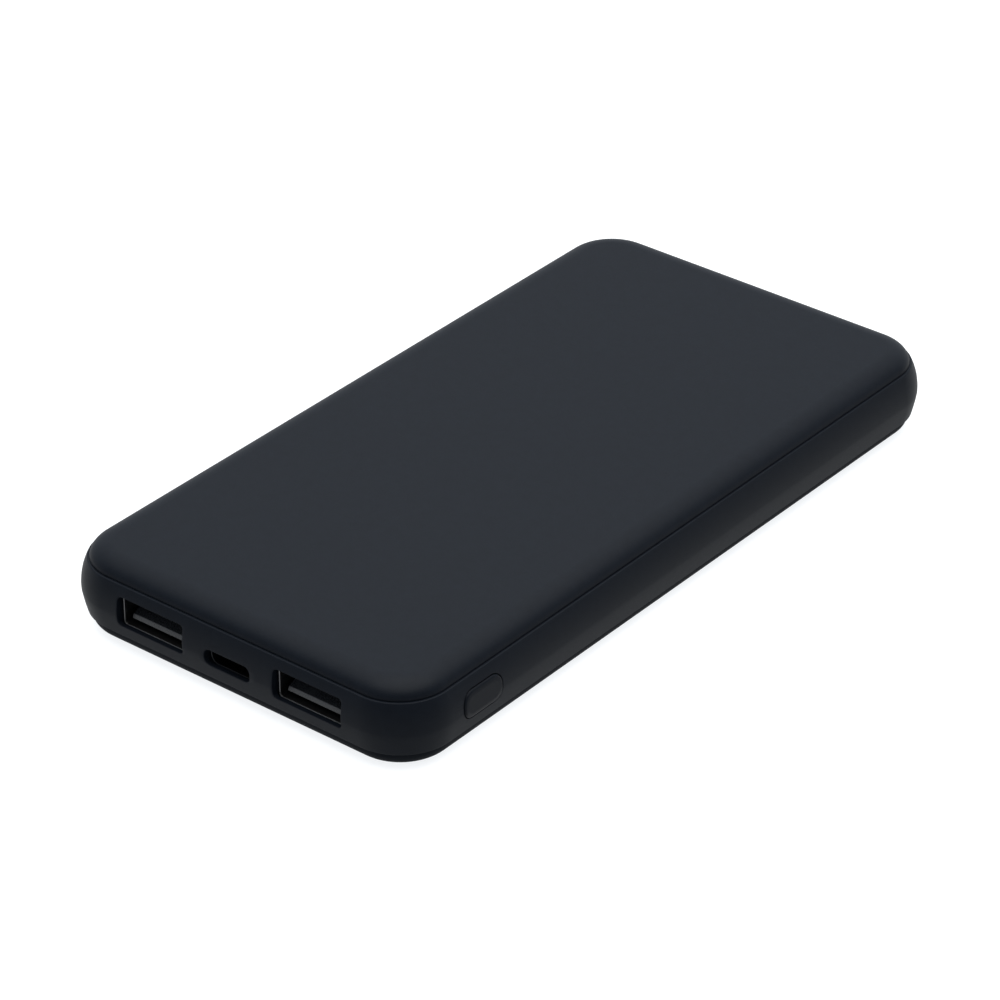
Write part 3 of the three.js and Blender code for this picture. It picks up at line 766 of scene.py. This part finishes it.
def make_tongue(bm, x):
    """The tongue starts with a low nose that leans back, and slopes up to its full height."""
    slope_start = TONGUE_FRONT + NOSE_LEAN
    profile = [
        (TONGUE_BACK, TONGUE_TOP, 0),
        (slope_start + SLOPE_LENGTH, TONGUE_TOP, SLOPE_RADIUS),
        (slope_start, NOSE_TOP, NOSE_TOP_RADIUS),
        (TONGUE_FRONT, TONGUE_BOTTOM + NOSE_FOOT_RISE, NOSE_FOOT_RADIUS),
        (TONGUE_FRONT + NOSE_FOOT_DEPTH, TONGUE_BOTTOM, NOSE_FOOT_RADIUS),
        (TONGUE_BACK, TONGUE_BOTTOM, 0),
    ]
    outline = softened(profile, steps=3)
    middle = sum(outline, Vector((0, 0))) / len(outline)
    rings = []
    for offset, shrink in (
        (-TONGUE_HALF_X, TONGUE_EDGE),
        (-TONGUE_HALF_X + TONGUE_EDGE, 0),
        (TONGUE_HALF_X - TONGUE_EDGE, 0),
        (TONGUE_HALF_X, TONGUE_EDGE),
    ):
        ring = []
        for y, z in outline:
            inwards_y = shrink if y < middle.x else 0
            inwards_z = shrink if z < middle.y else -shrink
            ring.append(Vector((x + offset, y + inwards_y, z + inwards_z)))
        rings.append(ring)
    loft(bm, rings)


def make_insulator(x):
    """The tongue with a groove under each contact, and the block at the back of the shell."""
    ends = (REAR_BLOCK_FRONT, USB_A_BACK - MOULDING_END_GAP)
    rear = solid(straight_along_y, REAR_BLOCK, x, USB_A_Z, *ends)
    tongue = join(solid(make_tongue, x), rear)
    grooves = []
    for offset in CONTACT_OFFSETS:
        middle = x + offset
        front = CONTACT_START - GROOVE_CLEARANCE
        low = (middle - GROOVE_HALF_WIDTH, front, TONGUE_TOP - GROOVE_DEPTH)
        high = (middle + GROOVE_HALF_WIDTH, GROOVE_END, TONGUE_TOP + GROOVE_CLEARANCE)
        grooves.append(solid(block, low, high))
    return cut(tongue, *grooves)


def make_contact(bm, x):
    """A sprung strip with a rounded hump where it meets the plug, and a nose that dips."""
    line = [(CONTACT_END, CONTACT_FLOOR), (CONTACT_START + FLAT_START, CONTACT_FLOOR)]
    for step in range(HUMP_STEPS + 1):
        t = step / HUMP_STEPS
        along = HUMP_END - (HUMP_END - HUMP_START) * t
        rise = HUMP_HEIGHT * math.sin(math.pi * t) ** HUMP_POWER
        line.append((CONTACT_START + along, CONTACT_FLOOR + rise))
    line.append((CONTACT_START, CONTACT_FLOOR - CONTACT_DIP))
    strip_along_y(bm, line, CONTACT_THICKNESS, x, CONTACT_WIDTH)


def add_usb_a_socket(side, x):
    """The shell, the insulator and the four contacts of one USB-A socket."""
    tube = solid(make_tube, USB_A_INNER, x, USB_A_Z, USB_A_BACK)
    shell = join(tube, *spring_fingers(x), *legs(USB_A_INNER, x, USB_A_Z, USB_A_LEGS_Y))
    node = f"usb_a_shell_{side}"
    finish_piece(shell, f"socket_shell_{side}", "body", SOCKET_STEEL, "socket_shell", node)
    insulator = make_insulator(x)
    node = f"usb_a_insulator_{side}"
    finish_piece(insulator, f"socket_tongue_{side}", "body", SOCKET_PLASTIC, "socket_plastic", node)
    for index, offset in enumerate(CONTACT_OFFSETS, 1):
        contact = solid(make_contact, x + offset)
        name = f"socket_contact_{side}_{index}"
        node = f"usb_a_contact_{side}_{index}"
        finish_piece(contact, name, "body", CONTACT_GOLD, "contact", node)


for side, opening_x in USB_A_OPENINGS_X.items():
    add_usb_a_socket(side, opening_x + SOCKET_SHIFT)

# ---- USB-C socket ----------------------------------------------------------------------------

USB_C_INNER = Rounded(4.17, 1.28, 1.27)
USB_C_BACK = SOCKET_FRONT + 7.3
USB_C_LEGS_Y = SOCKET_FRONT + 4
C_TONGUE_FRONT = SOCKET_FRONT + 0.9
C_BASE = USB_C_INNER.grown(-MOULDING_GAP)
C_BASE_FRONT = USB_C_BACK - 1.65
C_BASE_EDGE = 0.05
C_BLADE = Rounded(3.34, 0.35, 0.15)
C_BLADE_TIP = Rounded(3.26, 0.27, 0.1)
C_BLADE_EDGE = 0.08
C_SIDE_STEPS = (4, 1)


def make_c_tongue(bm):
    """A thin blade with rounded edges, stepped out where it meets its base."""
    rings = []
    for section, y in (
        (C_BLADE_TIP, C_TONGUE_FRONT),
        (C_BLADE, C_TONGUE_FRONT + C_BLADE_EDGE),
        (C_BLADE, C_BASE_FRONT - C_BASE_EDGE),
        (C_BASE, C_BASE_FRONT),
        (C_BASE, USB_C_BACK - MOULDING_END_GAP),
    ):
        outline = rounded_ring(section, PLAIN_CORNER_STEPS, C_SIDE_STEPS)
        rings.append([Vector((SOCKET_SHIFT + a, y, USB_C_Z + b)) for a, b in outline])
    loft(bm, rings)


c_tube = solid(make_tube, USB_C_INNER, SOCKET_SHIFT, USB_C_Z, USB_C_BACK)
c_shell = join(c_tube, *legs(USB_C_INNER, SOCKET_SHIFT, USB_C_Z, USB_C_LEGS_Y))
finish_piece(c_shell, "socket_shell_c", "body", SOCKET_STEEL_DARK, "socket_shell", "usb_c_shell")
c_tongue = solid(make_c_tongue)
finish_piece(
    c_tongue, "socket_tongue_c", "body", SOCKET_PLASTIC, "socket_plastic", "usb_c_insulator"
)

# ---- Finishes of the CAD nodes that stay -----------------------------------------------------

BOARD = textured(
    "board_green",
    (0.008, 0.06, 0.025),
    (0.012, 0.09, 0.04),
    grain_mm=0.4,
    roughness=(0.3, 0.45),
    bump_mm=0.01,
)
CHIP = textured(
    "chip_epoxy",
    (0.010, 0.010, 0.011),
    (0.016, 0.016, 0.017),
    grain_mm=0.12,
    roughness=(0.5, 0.65),
    bump_mm=0.006,
)
FERRITE = textured(
    "ferrite",
    (0.05, 0.05, 0.052),
    (0.085, 0.083, 0.08),
    grain_mm=0.2,
    roughness=(0.7, 0.85),
    bump_mm=0.02,
)
CERAMIC = textured(
    "capacitor_ceramic",
    (0.30, 0.20, 0.11),
    (0.36, 0.25, 0.14),
    grain_mm=0.15,
    roughness=(0.4, 0.55),
    bump_mm=0.004,
)
CELL_FOIL = textured(
    "cell_foil",
    (0.40, 0.41, 0.42),
    (0.50, 0.51, 0.52),
    grain_mm=0.8,
    roughness=(0.25, 0.45),
    bump_mm=0.03,
    Metallic=0.8,
)
NICKEL = textured(
    "tab_nickel",
    (0.60, 0.57, 0.52),
    (0.68, 0.65, 0.60),
    grain_mm=0.08,
    roughness=(0.25, 0.4),
    bump_mm=0.002,
    stretch=(1, 0.1, 1),
    Metallic=1.0,
)
SCREW = textured(
    "screw_steel",
    (0.38, 0.38, 0.39),
    (0.50, 0.50, 0.51),
    grain_mm=0.1,
    roughness=(0.25, 0.42),
    bump_mm=0.004,
    Metallic=1.0,
)
TAPE = textured(
    "tape_white",
    (0.62, 0.61, 0.57),
    (0.72, 0.71, 0.67),
    grain_mm=0.3,
    roughness=(0.7, 0.9),
    bump_mm=0.02,
)
FOAM = textured(
    "foam_black",
    (0.010, 0.010, 0.010),
    (0.025, 0.025, 0.025),
    grain_mm=0.35,
    roughness=(0.85, 1.0),
    bump_mm=0.12,
)
FILM = textured(
    "film_amber",
    (0.42, 0.18, 0.03),
    (0.50, 0.24, 0.05),
    grain_mm=0.6,
    roughness=(0.2, 0.32),
    bump_mm=0.01,
)
LEAD_RED = textured(
    "lead_red",
    (0.38, 0.012, 0.010),
    (0.45, 0.020, 0.015),
    grain_mm=0.12,
    roughness=(0.45, 0.6),
    bump_mm=0.006,
)
LEAD_BLACK = textured(
    "lead_black",
    (0.010, 0.010, 0.010),
    (0.018, 0.018, 0.018),
    grain_mm=0.12,
    roughness=(0.45, 0.6),
    bump_mm=0.006,
)

NODE_FINISHES = (
    ("usb_c_contacts", CONTACT_GOLD),
    ("circuit_board", BOARD),
    ("protection_board", BOARD),
    ("charge_controller", CHIP),
    ("protection_chip", CHIP),
    ("sense_resistor", CHIP),
    ("switch_body", CHIP),
    ("switch_stem", TAPE),
    ("power_inductor", FERRITE),
    ("capacitor", CERAMIC),
    ("cell_tab", NICKEL),
    ("cell_tape", TAPE),
    ("cell", CELL_FOIL),
    ("board_screw", SCREW),
    ("foam_pad", FOAM),
    ("insulation_sheet", FILM),
    ("lead_positive", LEAD_RED),
    ("lead_negative", LEAD_BLACK),
)

for name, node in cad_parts.items():
    finish = next((finish for start, finish in NODE_FINISHES if name.startswith(start)), None)
    if finish is not None:
        node.data.materials.clear()
        node.data.materials.append(finish)

# ---- Camera ----------------------------------------------------------------------------------

CAMERA_AZIMUTH = math.radians(39.15)
CAMERA_ELEVATION = math.radians(31.63)
CAMERA_ROLL = math.radians(0.3)
CAMERA_DISTANCE = 677.6 * MM
CAMERA_SHIFT_RIGHT = -2.28 * MM
CAMERA_SHIFT_UP = 2.62 * MM
CAMERA_LENS = 154.8


def make_camera():
    """The camera looks down on the corner between the socket end and the button's side."""
    az, el = CAMERA_AZIMUTH, CAMERA_ELEVATION
    back = Vector((math.sin(az) * math.cos(el), -math.cos(az) * math.cos(el), math.sin(el)))
    level_right = Vector((math.cos(az), math.sin(az), 0))
    level_up = back.cross(level_right)
    place = back * CAMERA_DISTANCE + level_right * CAMERA_SHIFT_RIGHT + level_up * CAMERA_SHIFT_UP
    right = level_right * math.cos(CAMERA_ROLL) - level_up * math.sin(CAMERA_ROLL)
    up = level_right * math.sin(CAMERA_ROLL) + level_up * math.cos(CAMERA_ROLL)
    turn = Matrix((right, up, back)).transposed().to_4x4()
    camera = bpy.data.objects.new("camera", bpy.data.cameras.new("camera"))
    camera.data.lens = CAMERA_LENS
    camera.matrix_world = Matrix.Translation(place) @ turn
    scene.collection.objects.link(camera)
    scene.camera = camera


make_camera()
scene.view_settings.view_transform = "Standard"

# ---- Floor -----------------------------------------------------------------------------------

# In metres. The floor is a hair under the bottom cover, so that the two faces don't coincide.
FLOOR_Z = -0.02 * MM
FLOOR_REACH = 4


def make_floor():
    """A wide pale floor that gives off some light of its own, so that shadows on it stay faint."""
    mesh = bpy.data.meshes.new("floor")
    signs = ((-1, -1), (1, -1), (1, 1), (-1, 1))
    corners = [(FLOOR_REACH * sign_x, FLOOR_REACH * sign_y, FLOOR_Z) for sign_x, sign_y in signs]
    mesh.from_pydata(corners, [], [(0, 1, 2, 3)])
    floor = bpy.data.objects.new("floor", mesh)
    scene.collection.objects.link(floor)
    white = textured(
        "floor_white",
        (0.19, 0.19, 0.19),
        (0.21, 0.21, 0.21),
        grain_mm=2,
        roughness=(0.85, 0.95),
        bump_mm=0.01,
        Emission_Color=(0.98, 1, 1.02, 1),
        Emission_Strength=0.86,
    )
    mesh.materials.append(white)


make_floor()

# ---- Light -----------------------------------------------------------------------------------

# The lamp's place and size are in metres, and its power is in watts.
LAMP_PLACE = Vector((0, 0.05, 0.9))
LAMP_SIZE = 1.1
LAMP_POWER = 21
LAMP_COLOUR = (1.0, 0.985, 0.95)

# The tent is open on one side. It turns from bright to dim between these two cosines of the
# angle to its opening.
TENT_COLOUR = (0.94, 1.0, 1.09)
TENT_OPENING = (0.63, -0.777, 0)
TENT_BRIGHT = 1.38
TENT_DIM = 0.36
TENT_BRIGHT_UP_TO = -0.8
TENT_DIM_FROM = 0.6


def make_tent():
    """A white tent, bright behind the object and dimmer on the side where it's open."""
    world = bpy.data.worlds.new("studio")
    scene.world = world
    world.use_nodes = True
    tree = world.node_tree
    direction = tree.nodes.new("ShaderNodeTexCoord")
    towards = tree.nodes.new("ShaderNodeVectorMath")
    towards.operation = "DOT_PRODUCT"
    towards.inputs[1].default_value = TENT_OPENING
    strength = tree.nodes.new("ShaderNodeMapRange")
    strength.interpolation_type = "SMOOTHSTEP"
    strength.inputs["From Min"].default_value = TENT_BRIGHT_UP_TO
    strength.inputs["From Max"].default_value = TENT_DIM_FROM
    strength.inputs["To Min"].default_value = TENT_BRIGHT
    strength.inputs["To Max"].default_value = TENT_DIM
    background = tree.nodes["Background"]
    background.inputs["Color"].default_value = (*TENT_COLOUR, 1)
    tree.links.new(direction.outputs["Generated"], towards.inputs[0])
    tree.links.new(towards.outputs["Value"], strength.inputs["Value"])
    tree.links.new(strength.outputs["Result"], background.inputs["Strength"])


def make_lamp():
    """A large square lamp overhead that faces the object."""
    light = bpy.data.lights.new("overhead", "AREA")
    light.shape = "SQUARE"
    light.size = LAMP_SIZE
    light.energy = LAMP_POWER
    light.color = LAMP_COLOUR
    lamp = bpy.data.objects.new("overhead", light)
    lamp.location = LAMP_PLACE
    lamp.rotation_euler = (-LAMP_PLACE).to_track_quat("-Z", "Y").to_euler()
    scene.collection.objects.link(lamp)


make_tent()
make_lamp()
